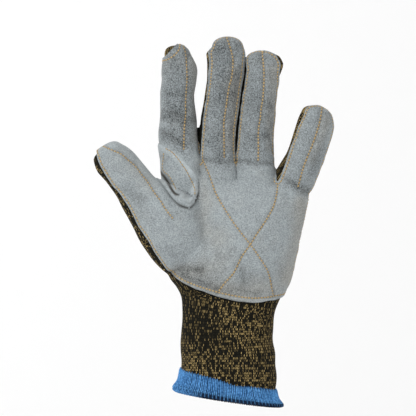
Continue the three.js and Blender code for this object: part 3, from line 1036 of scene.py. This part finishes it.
@dataclass(frozen=True)
class MelangeKnit:
    """Plain knit of a black and a tan yarn, one V to each stitch."""

    black: Colour = (0.005, 0.005, 0.004, 1)
    olive: Colour = (0.022, 0.02, 0.012, 1)
    tan: Colour = (0.70, 0.51, 0.21, 1)
    leg_width: float = 0.165
    fine_scale: float = 330
    coarse_scale: float = 70
    depth: float = 0.5 * MM

    def make(self, name: str) -> Material:
        """Return the knit as a material that reads the piece's map of wales and courses."""
        maker = NodeMaker(name)
        uv = maker.add("ShaderNodeUVMap", {"uv_map": "wales"}, {}).outputs["UV"]
        split = maker.add("ShaderNodeSeparateXYZ", {}, {"Vector": uv})
        wale, course = Signal(maker, split.outputs["X"]), Signal(maker, split.outputs["Y"])
        across = wale.fraction() - 0.5
        up = course.fraction()
        leg_place = up * 0.13 + 0.18
        leg = (1 - ((across.size() - leg_place) / self.leg_width).power(2)).between()
        rounding = (1 - ((up - 0.5) * 2).size().power(4)).between()
        height = leg * (rounding * 0.85 + 0.15)
        side = across > 0.0
        cell = maker.add("ShaderNodeCombineXYZ", {}, {
            "X": wale.floor() + side * 0.5, "Y": course.floor(), "Z": 0.0,
        }).outputs[0]
        dice = Signal(maker, maker.add("ShaderNodeTexWhiteNoise", {"noise_dimensions": "3D"}, {
            "Vector": cell,
        }).outputs["Value"])
        fine, coarse = maker.speckle(self.fine_scale), maker.speckle(self.coarse_scale)
        drift = (fine - 0.5) * 0.35 + (coarse - 0.5) * 0.35
        # The tone attribute carries the knit's painted shade.
        bright = ((dice + drift + maker.attribute("tone") - 0.4) * 1.9).between()
        yarn = maker.blend(bright, self.olive, self.tan)
        colour = maker.blend((height * 1.8 - 0.55).between(), self.black, yarn)
        maker.set_surface(Base_Color=colour, Roughness=0.95, Specular_IOR_Level=0.1)
        maker.bump(height, self.depth, 0.9)
        return maker.material


@dataclass(frozen=True)
class Yarn:
    """Sewing or overlock thread, lighter and darker along its plies, with painted shade where it dives in."""

    light: Colour
    dark: Colour
    painted_shade: Colour
    ply_scale: float = 1500
    drift_scale: float = 120
    depth: float = 0.15 * MM

    def make(self, name: str) -> Material:
        """Return the thread as a material that reads how much painted shade each point has."""
        maker = NodeMaker(name)
        plies = maker.speckle(self.ply_scale)
        share = ((plies - 0.5) * 2.6 + (maker.speckle(self.drift_scale) - 0.5) * 0.8 + 0.5).between()
        base = maker.blend(share, self.dark, self.light)
        # Mix towards the painted shade's colour where a piece paints shade.
        colour = maker.blend(maker.attribute("painted_shade").between(), base, self.painted_shade)
        maker.set_surface(Base_Color=colour, Roughness=0.8, Specular_IOR_Level=0.2)
        maker.bump(plies, self.depth, 0.8)
        return maker.material


TAN_THREAD = Yarn(light=(0.60, 0.44, 0.22, 1), dark=(0.40, 0.28, 0.12, 1), painted_shade=(0.12, 0.08, 0.038, 1))
BLUE_YARN = Yarn(light=(0.14, 0.40, 0.78, 1), dark=(0.018, 0.10, 0.28, 1), painted_shade=(0.004, 0.014, 0.04, 1),
                 ply_scale=700)
BLUE_SHADE = Yarn(light=(0.016, 0.05, 0.12, 1), dark=(0.006, 0.016, 0.04, 1), painted_shade=(0, 0, 0, 1))


class Finish(Enum):
    """The glove's finishes and a name for each."""

    KNIT = "knit"
    SUEDE = "suede"
    HEM = "hem_yarn"


@dataclass
class Wardrobe:
    """Every material of the glove, made once."""

    suede: Material = field(default_factory=lambda: Suede().make("split_leather"))
    knit: Material = field(default_factory=lambda: MelangeKnit().make("melange_knit"))
    thread: Material = field(default_factory=lambda: TAN_THREAD.make("tan_thread"))
    hem: Material = field(default_factory=lambda: BLUE_YARN.make("blue_yarn"))
    hem_core: Material = field(default_factory=lambda: BLUE_SHADE.make("blue_yarn_shade"))


def finish_piece(piece: Piece, material: Material) -> None:
    """Give a piece its one material and its body."""
    piece.data.materials.clear()
    piece.data.materials.append(material)
    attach(piece, "root")
    LOG.info("%s: %d faces", piece.name, len(piece.data.polygons))


@dataclass
class StitchRow:
    """Rows of one thread's stitches, each copied from one modelled stitch."""

    pitch: float = 2.4 * MM
    length: float = 2.45 * MM
    width: float = 1.1 * MM
    height: float = 0.62 * MM
    squareness: float = 0.8
    droop: float = 0.55
    sink_start: float = 0.42
    sink_span: float = 0.22
    sway: float = 0.09
    seed: int = 7

    def stitch(self) -> tuple[Array, Array, list[tuple[int, ...]]]:
        """Model one stitch along X and return its points, their painted shade at its ends, and its faces."""
        make_active()
        bpy.ops.mesh.primitive_uv_sphere_add(segments=8, ring_count=8, radius=0.5)
        model = bpy.context.active_object
        points = places(model) @ np.array([[0, 0, -1], [0, 1, 0], [1, 0, 0]], float)
        points[:, 0] = np.sign(points[:, 0]) * np.abs(points[:, 0] * 2) ** self.squareness / 2
        reach = np.abs(points[:, 0] * 2)
        points *= (self.length, self.width, self.height)
        points[:, 2] -= reach**2 * self.height * self.droop
        faces = [tuple(p.vertices) for p in model.data.polygons]
        bpy.data.objects.remove(model)
        # The ends, where the thread dives into the leather, get painted shade.
        return points, held((reach - self.sink_start) / self.sink_span), faces

    def build(self, name: str, lines: Sequence[Row]) -> Piece:
        """Sew along lines.

        Args:
            name: The new object's name.
            lines: Pairs of a line's points and the surface normals there, in metres.
        """
        points, painted_shade, faces = self.stitch()
        all_points, all_faces = [], []
        dice = np.random.default_rng(self.seed)
        for line, up in lines:
            along = along_of(line)
            count = max(1, round(along[-1] / self.pitch))
            pitch = along[-1] / count
            for k in range(count):
                at = (k + 0.5) * pitch
                ends = [self.sample(line, along, at + side * pitch * 0.42) for side in (-1, 1)]
                forward = unit(ends[1] - ends[0])
                lift = self.sample(up, along, at)
                lift = unit(lift - forward * (lift @ forward))
                aside = np.cross(lift, forward)
                turn = dice.uniform(-self.sway, self.sway)
                cosine, sine = math.cos(turn), math.sin(turn)
                axes = [forward * cosine + aside * sine, aside * cosine - forward * sine, lift]
                placed = points * dice.uniform(0.94, 1.05)
                start = len(all_points) * len(points)
                middle = (ends[0] + ends[1]) / 2 + lift * self.height * 0.22
                all_points.append(middle + placed @ np.array(axes))
                all_faces.extend(tuple(start + i for i in face) for face in faces)
        piece = mesh_piece(name, np.vstack(all_points), all_faces)
        keep_numbers(piece, "painted_shade", np.tile(painted_shade, len(all_points)))
        smooth_shading(piece, YARN_ANGLE)
        return piece

    def sample(self, rows: Array, along: Array, at: float) -> Array:
        """Return the row at a distance along a line."""
        return np.array([np.interp(at, along, rows[:, k]) for k in range(3)])


@dataclass
class KnitShell:
    """The seamless knitted glove: one hollow wall, open at the mouth."""

    skin: HandSkin
    wardrobe: Wardrobe
    course: float = 1.75
    mouth: Points = ((-34.9, 17.2), (34.4, 2.2))
    cuff_top: float = 72

    def build(self) -> None:
        """Make the knit's wall and dress it."""
        wall = self.skin.build("knit_glove", KNIT_VOXEL, KNIT_ROUNDS)
        self.open_mouth(wall)
        self.soften(wall)
        apply_modifier(wall, "SOLIDIFY", thickness=KNIT_WALL, offset=-1, use_even_offset=False)
        self.map_wales(wall)
        # Painted shade from the knit's bands, on the palm's side only.
        palm_side = held(0.8 - 2 * normals(wall)[:, 1])
        keep_numbers(wall, "tone", band_sum(places(wall) / MM, KNIT_SHADE_BANDS) * palm_side)
        smooth_shading(wall, YARN_ANGLE)
        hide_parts(*KNIT_NODES)
        finish_piece(wall, self.wardrobe.knit)

    def open_mouth(self, wall: Piece) -> None:
        """Cut the wall off along the slanted mouth, behind the blue band's top edge."""
        left, right = np.array(self.mouth) * MM
        slope = right - left
        edit_all(wall, lambda: bpy.ops.mesh.bisect(
            plane_co=(left[0], 0, left[1]), plane_no=(-slope[1], 0, slope[0]), clear_inner=True))

    def soften(self, wall: Piece) -> None:
        """Let the cuff slump a little and the knit lie unevenly."""
        flat = places(wall) / MM
        cuff = held((self.cuff_top - flat[:, 2]) / 40)
        waves = ruffle(flat * (1, 1, 2.2), 26, 3.0) * 0.7 * cuff + ruffle(flat, 11, 8.0) * 0.22
        move_points(wall, places(wall) + normals(wall) * waves[:, None] * MM)

    def map_wales(self, wall: Piece) -> None:
        """Number the wales round each limb and the courses along it, as the wall's own map."""
        mesh = wall.data
        looks = [self.skin.on_limb(places(wall) / MM, k) for k in range(len(LIMBS))]
        reach = np.array([look["reach"] for look in looks])
        angle = np.array([np.arctan2(look["depth"], look["side"]) / (2 * math.pi) for look in looks])
        along = np.array([look["along"] for look in looks]) / self.course
        corners = read_rows(mesh.loops, "vertex_index", int, 1)
        totals = read_rows(mesh.polygons, "loop_total", int, 1)
        first = corners[read_rows(mesh.polygons, "loop_start", int, 1)]
        face_of = np.repeat(np.arange(len(totals)), totals)
        owner = np.argmin(reach[:, first], axis=0)[face_of]
        turn = angle[owner, corners]
        turn = turn - np.round(turn - angle[owner, first[face_of]])
        wales = np.array([limb.wales for limb in LIMBS])[owner]
        layer = mesh.uv_layers.new(name="wales")
        layer.data.foreach_set("uv", np.column_stack([turn * wales, along[owner, corners]]).ravel())


@dataclass
class Leather:
    """A piece of leather cut from the base skin, with its rows of stitches."""

    base: Piece
    wardrobe: Wardrobe

    def thicken(self, wall: Piece) -> None:
        """Give a sheet its thickness and its finish."""
        apply_modifier(wall, "SOLIDIFY", thickness=LEATHER, offset=-1, use_even_offset=False)
        smooth_shading(wall, LEATHER_ANGLE)
        finish_piece(wall, self.wardrobe.suede)

    def sew(self, row: StitchRow, name: str, lines: Sequence[Row]) -> None:
        """Sew rows of stitches as one named piece."""
        finish_piece(row.build(name, lines), self.wardrobe.thread)

    def tint(self, wall: Piece, flat: Array, extra: Array) -> None:
        """Keep how pale, with painted shade and highlights, and how warm the leather is at its points.

        Args:
            wall: The leather's mesh.
            flat: Its points in millimetres.
            extra: What is added to how pale it is.
        """
        keep_numbers(wall, "tone", BASE_TONE + band_sum(flat, SHADE_AND_TONE_BANDS) + extra)
        keep_numbers(wall, "warm", band_sum(flat, WARM_BANDS))


@dataclass
class PalmLeather(Leather):
    """The one-piece leather over the palm, the fingers and the thumb."""

    skin: HandSkin

    def outside(self, points: Array) -> Array:
        """Return how far points in millimetres lie outside the leather."""
        flat = points[:, [0, 2]]
        outline = outline_distance(flat, smooth_line(LEATHER_EDGE, 2), LEATHER_CLEAR)
        behind = points[:, 1] - self.skin.leather_edge(points)[0]
        slits = [slit_depth(flat, *slit) for slit in LEATHER_SLITS]
        return np.maximum.reduce([outline, behind, *slits])

    def build(self) -> None:
        """Make the leather and its stitches."""
        wall = Sheet(self.base, "leather_palm").cut(self.outside)
        flat, facing = places(wall) / MM, np.abs(normals(wall)[:, 1])
        inset = self.outside(flat)
        edge_y, rim = self.skin.leather_edge(flat)
        for valley in VALLEYS:
            rim *= 1 - bell(polyline_distance(flat[:, [0, 2]], valley), VALLEY_WIDTH)
        sideways = np.isclose(inset, flat[:, 1] - edge_y)
        slope = np.where(sideways, np.sqrt(1 - np.minimum(facing, 1) ** 2), facing)
        row_inset = inset + rim * np.clip(slope, 0.3, 1)
        self.press(wall, inset, row_inset)
        rows = self.edge_rows(wall, row_inset) + [from_the_front(wall, seam) for seam in LEATHER_SEAMS]
        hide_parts("palm_leather")
        self.thicken(wall)
        self.sew(StitchRow(), "palm_stitches", rows)

    def press(self, wall: Piece, inset: Array, row_inset: Array) -> None:
        """Lift the leather off the knit, and press its seams and creases into it.

        Args:
            wall: The leather's mesh.
            inset: How far each point lies outside the leather's edge, in millimetres.
            row_inset: How far each point lies outside the row of stitches beside the edge.
        """
        out = normals(wall)
        flat = places(wall) / MM
        palm = flat[:, [0, 2]]
        front = front_of(out)
        lift = np.full(len(flat), (LAYER_GAP + LEATHER) / MM)
        # crease holds painted shade: in the seams' grooves, the creases, the edge rows, under the patch's rim
        # and in the fold.
        crease = np.zeros(len(flat))
        for seam in LEATHER_SEAMS:
            away = polyline_distance(palm, smooth_line(seam, 1.5))
            lift += (SEAM_GROOVE.at(away) + SEAM_SHOULDER.at(away)) * front
            crease += SEAM_SHADE.at(away) * front
        for *line, depth, width in CREASES:
            away = polyline_distance(palm, smooth_line(np.reshape(line, (-1, 2)), 1.5))
            shoulder = CREASE_SHOULDER * bell(away - CREASE_SHOULDER_PLACE * width, width)
            lift += depth * (shoulder - bell(away, width)) * front
            crease += CREASE_SHADE * depth * bell(away, width * CREASE_SHADE_WIDTH) * front
        under_patch = UNDER_PATCH.at(polyline_distance(palm, smooth_line(PATCH_RIM, 1.5)))
        crease += rim_shade(palm) * under_patch * front
        fold = fold_distance((flat + out * lift[:, None])[:, [0, 2]])
        lift += LEATHER_FOLD.at(fold) * front + ROW_GROOVE.at(row_inset) + ROW_SHOULDER.at(row_inset)
        heel = held((HEEL_TOP - flat[:, 2]) / HEEL_FADE)
        lift += held(1 + inset / 1.2) * (0.15 + 0.35 * ruffle(flat, 7, 2.0) + 0.7 * heel)
        lift += 0.35 * ruffle(flat, 17, 5.0) + 0.14 * ruffle(flat, 5.5, 9.0)
        crease += ROW_SHADE.at(row_inset)
        moved = flat + out * lift[:, None]
        keep_numbers(wall, "crease", crease + fold_shade(moved[:, [0, 2]]) * front)
        self.tint(wall, flat, 0.04 * held(1 + row_inset))
        move_points(wall, moved * MM)

    def edge_rows(self, wall: Piece, row_inset: Array) -> list[Row]:
        """Return the rows that follow the leather's edge."""
        lines = [line for line in contour(wall, row_inset) if len(line) > SHORTEST_ROW]
        return [on_surface(wall, even_steps(self.calm(line), ROW_STEP)) for line in lines]

    def calm(self, line: Array, rounds: int = 8) -> Array:
        """Return a line with its small kinks smoothed out."""
        line = even_steps(line, CALM_STEP)
        for _ in range(rounds):
            line[1:-1] = (line[:-2] + 2 * line[1:-1] + line[2:]) / 4
        return line


@dataclass
class CrotchPatch(Leather):
    """The patch that folds over the web between thumb and index."""

    palm: PalmLeather

    def outside(self, points: Array) -> Array:
        """Return how far points in millimetres lie outside the patch."""
        return outline_distance(points[:, [0, 2]], smooth_line(PATCH_EDGE, 1.5), PATCH_CLEAR)

    def build(self) -> None:
        """Make the patch and its stitches."""
        wall = Sheet(self.base, "crotch_patch").cut(self.outside)
        apply_modifier(wall, "SUBSURF", levels=1, render_levels=1, subdivision_type="SIMPLE")
        self.press(wall)
        rows = [from_the_front(wall, seam) for seam in (PATCH_SEAM_UPPER, PATCH_SEAM_LOWER)]
        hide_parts("thumb_crotch_patch")
        self.thicken(wall)
        self.sew(StitchRow(width=0.75 * MM), "patch_stitches", rows)

    def press(self, wall: Piece) -> None:
        """Lift the patch off the leather, roll the band along its rim, and sink the fold beside it."""
        out = normals(wall)
        flat = places(wall) / MM
        palm = flat[:, [0, 2]]
        off_leather = held(self.palm.outside(flat) / 2.5)
        lift = (2 - off_leather) * (LAYER_GAP + LEATHER) / MM
        front = front_of(out)
        fold = fold_distance((flat + out * lift[:, None])[:, [0, 2]])
        rim = polyline_distance(palm, smooth_line(PATCH_RIM, 1))
        lift += (PATCH_ROLL.at(rim) + PATCH_GROOVE.at(rim)) * front
        lift += (PATCH_DIP.at(fold) + PATCH_SHOULDER.at(fold)) * front
        lift += PATCH_TUCK.at(self.outside(flat)) + 0.2 * ruffle(flat, 9, 4.0)
        # Painted shade along the rim and in the fold, and a painted highlight along the rolled band.
        crease = PATCH_RIM_SHADE.at(rim) + PATCH_GROOVE_SHADE.at(rim)
        moved = flat + out * lift[:, None]
        keep_numbers(wall, "crease", crease * rim_shade(palm) * front + fold_shade(moved[:, [0, 2]]))
        self.tint(wall, flat, PATCH_HIGHLIGHT.at(rim))
        move_points(wall, moved * MM)


@dataclass
class CuffHem:
    """The blue overlock band: a rolled core under a thread loop every millimetre or so."""

    wardrobe: Wardrobe
    top: tuple[float, ...] = (-34.2, 20.2, 34.6, 5.4, -24, 24)
    bottom: tuple[float, ...] = (-35.4, 5.4, 35.4, -5.4, -24.6, 24.6)
    profile: Points = (
        (-0.08, 0.3), (0.1, 0.8), (0.38, 1.2), (0.58, 2.1), (0.78, 3.6), (0.92, 4.1), (1.02, 3.1),
        (1.07, 1.0), (0.97, -0.7), (0.6, -1.5), (0, -1.6),
    )
    sag: float = 1.1
    dip: float = 1.9
    dip_x: float = 5.0
    dip_width: float = 9.0
    core_sides: int = 180
    core_inset: float = 0.25
    loops: int = 156
    steps: int = 22
    sides: int = 6
    thread_radius: float = 0.51
    end_share: float = 0.35
    jitter: float = 0.05
    knot_height: float = 0.65
    knots: int = 6
    stagger: float = 0.05
    seed: int = 11

    def ring(self, down: float, out: float, angle: Array) -> Array:
        """Return points of the band's wall in millimetres.

        Args:
            down: 0 at the band's top edge and 1 at its bottom one.
            out: How far outside the knit's skin the points lie, in millimetres.
            angle: Where round the mouth the points lie.
        """
        row = np.array(self.top) + (np.array(self.bottom) - np.array(self.top)) * down
        middle = np.array([(row[0] + row[2]) / 2, (row[4] + row[5]) / 2, (row[1] + row[3]) / 2])
        across = np.array([row[2] - row[0], 0, row[3] - row[1]])
        half_width = np.linalg.norm(across) / 2
        points = middle + np.outer(oval(np.cos(angle)) * (half_width + out), across / (2 * half_width))
        points[:, 1] += oval(np.sin(angle)) * ((row[5] - row[4]) / 2 + out)
        dip = self.dip * bell(points[:, 0] - self.dip_x, self.dip_width)
        points[:, 2] -= (self.sag + dip) * held(-np.sin(angle)) * held(1 - down)
        points[:, 2] -= 0.8 * np.clip(down, 0, 1.1) * np.sin(angle) ** 2
        return points

    def point(self, down: float, out: float, angle: float) -> Array:
        """Return one point of the band's wall in millimetres."""
        return self.ring(down, out, np.array([angle]))[0]

    def even_angles(self, count: int) -> Array:
        """Return angles that are evenly spaced along the band, the first one given again at the end."""
        fine = np.linspace(0, 2 * math.pi, 2001)
        along = along_of(self.ring(0.5, 1.0, fine))
        return np.interp(np.linspace(0, along[-1], count + 1), along, fine)

    def core(self) -> Piece:
        """Make the band's closed core."""
        angle = self.even_angles(self.core_sides)
        walls = [self.ring(down, out - self.core_inset, angle) for down, out in self.profile]
        core = rolled_grid("hem_core", np.array(walls + walls[:1]) * MM)
        smooth_shading(core, YARN_ANGLE)
        return core

    def loop(self, odd: int, base: float, lean: float, path: Array,
             dice: np.random.Generator) -> tuple[list[Array], list[float]]:
        """Return one thread loop's rings, and how much painted shade each has.

        Args:
            odd: 1 for every second loop, which reaches higher, and 0 for the others.
            base: Where round the mouth the loop lies.
            lean: How far it leans to one side.
            path: The band's profile in even steps.
            dice: The source of its small unevenness.
        """
        turn = np.arange(self.sides) / self.sides * 2 * math.pi
        rings, painted_shade = [], []
        for step, (down, out) in enumerate(path):
            run = step / (self.steps - 1)
            down -= self.stagger * odd * held(1 - run * 4)
            angle = base + lean * (run - 0.5) * 2
            ramp = held(run * 4 - 0.8)
            wave = abs(math.sin(math.pi * (run * self.knots + 0.5 * odd)))
            knot = wave * ramp
            reach = dice.uniform(-self.jitter, self.jitter) + self.knot_height * knot
            here = self.point(down, out + reach, angle)
            side = unit(self.point(down, out, angle + 0.01) - here)
            if step + 1 < self.steps:
                onward = self.point(*path[step + 1], angle) - here
            else:
                onward = here - self.point(*path[step - 1], angle)
            up = np.cross(side, unit(onward))
            end = self.end_share if step in (0, self.steps - 1) else 1.0
            radius = self.thread_radius * end * dice.uniform(0.93, 1.05)
            radius *= 0.96 + 0.14 * knot - 0.3 * held((run - 0.72) / 0.28)
            rings.append(here + (np.outer(np.cos(turn), side) + np.outer(np.sin(turn), up)) * radius)
            # Painted shade: darker from partway down the roll's underside, every second loop lower, and in
            # the gaps between the knots.
            shade = held((run - 0.37 - 0.09 * odd) / 0.05) * held((here[0] + 26) / 8)
            painted_shade.append(max(shade, 0.8 * ramp * (1 - wave) ** 2))
        return rings, painted_shade

    def threads(self) -> Piece:
        """Lay the overlock's thread loops over the core."""
        dice = np.random.default_rng(self.seed)
        path = smooth_line(self.profile[:9], 0.01)
        path = path[np.linspace(0, len(path) - 1, self.steps).astype(int)]
        bases = self.even_angles(self.loops)
        rings, painted_shade, faces = [], [], []
        for k in range(self.loops):
            base = bases[k] + dice.uniform(-0.1, 0.1) * (bases[k + 1] - bases[k])
            lean = dice.uniform(0.004, 0.016)
            new_rings, new_painted_shade = self.loop(k % 2, base, lean, path, dice)
            rings.extend(new_rings)
            painted_shade.extend(new_painted_shade)
            numbers = np.arange(self.steps * self.sides).reshape(self.steps, self.sides)
            numbers += k * self.steps * self.sides
            beside = np.roll(numbers, -1, axis=1)
            quads = np.stack([numbers[:-1], beside[:-1], beside[1:], numbers[1:]], axis=-1)
            faces.extend(map(tuple, quads.reshape(-1, 4).tolist()))
            faces.extend([tuple(numbers[0, ::-1].tolist()), tuple(numbers[-1].tolist())])
        piece = mesh_piece("hem_threads", np.vstack(rings) * MM, faces)
        keep_numbers(piece, "painted_shade", np.repeat(painted_shade, self.sides))
        edit_all(piece, face_outward)
        smooth_shading(piece, YARN_ANGLE)
        return piece

    def build(self) -> None:
        """Make the band and dress it."""
        core, threads = self.core(), self.threads()
        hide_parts("cuff_hem")
        finish_piece(core, self.wardrobe.hem_core)
        finish_piece(threads, self.wardrobe.hem)


@dataclass
class Studio:
    """A pale sweep behind the glove that is clear from its back, soft light, and a long lens."""

    distance: float = 3.0
    view_width: float = 0.2995
    look_at: tuple[float, float, float] = (-0.0144, 0.0, 0.1368)
    paper: Colour = (0.92, 0.92, 0.92, 1)
    sky: float = 0.68
    floor: float = -0.1
    sensor: float = 36

    def build(self) -> None:
        """Make the sweep, the lights and the camera."""
        self.sweep()
        self.light("key", (-1.6, -1.5, 1.7), 1.1, 36.0)
        self.light("fill", (1.6, -1.6, 0.7), 1.6, 4.0)
        world = bpy.data.worlds.new("studio")
        world.use_nodes = True
        background = world.node_tree.nodes["Background"]
        background.inputs["Color"].default_value = (1, 1, 1, 1)
        background.inputs["Strength"].default_value = self.sky
        bpy.context.scene.world = world
        bpy.context.scene.view_settings.view_transform = "Standard"
        camera = new_piece("camera", bpy.data.cameras.new("camera"))
        camera.location = Vector(self.look_at) - Vector((0, self.distance, 0))
        camera.rotation_euler = (math.pi / 2, 0, 0)
        camera.data.sensor_width = self.sensor
        camera.data.lens = self.sensor * self.distance / self.view_width
        camera.data.clip_end = 20
        bpy.context.scene.camera = camera

    def light(self, name: str, place: tuple[float, float, float], size: float, power: float) -> None:
        """Hang one square soft light, turned to the glove."""
        lamp = bpy.data.lights.new(name, "AREA")
        lamp.size = size
        lamp.energy = power
        holder = new_piece(name, lamp)
        holder.location = place
        aim = Vector(self.look_at) - Vector(place)
        holder.rotation_euler = aim.to_track_quat("-Z", "Y").to_euler()

    def sweep(self) -> None:
        """Make the floor and the wall behind it as one curved sheet."""
        bend = [(0.4 + 0.5 * math.sin(t), 0.4 - 0.5 * math.cos(t)) for t in np.linspace(0.1, math.pi / 2, 12)]
        outline = [(-4.5, self.floor), (0.4, self.floor), *bend, (0.9, 4.0)]
        points = np.array([(x, y, z) for y, z in outline for x in (-5.0, 5.0)])
        faces = [(2 * k, 2 * k + 1, 2 * k + 3, 2 * k + 2) for k in range(len(outline) - 1)]
        sheet = mesh_piece("sweep", points, faces)
        maker = NodeMaker("pale_paper")
        maker.set_surface(Base_Color=self.paper, Roughness=0.9)
        clear = maker.add("ShaderNodeBsdfTransparent", {}, {}).outputs[0]
        behind = maker.add("ShaderNodeNewGeometry", {}, {}).outputs["Backfacing"]
        paper = maker.add("ShaderNodeMixShader", {}, {0: behind, 1: maker.surface.outputs[0], 2: clear})
        maker.feed(maker.tree.nodes["Material Output"].inputs["Surface"], paper.outputs[0])
        sheet.data.materials.append(maker.material)
        make_active(sheet)
        bpy.ops.object.shade_smooth()


def main() -> None:
    """Build the glove, piece by piece, and its studio."""
    logging.basicConfig(level=logging.INFO, format="%(name)s: %(message)s")
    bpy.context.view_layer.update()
    Studio().build()
    skin = HandSkin()
    wardrobe = Wardrobe()
    base = skin.build("skin", SKIN_VOXEL, SKIN_ROUNDS)
    KnitShell(skin, wardrobe).build()
    palm = PalmLeather(base, wardrobe, skin)
    palm.build()
    CrotchPatch(base, wardrobe, palm).build()
    CuffHem(wardrobe).build()
    bpy.data.objects.remove(base)


if __name__ == "__main__":
    main()
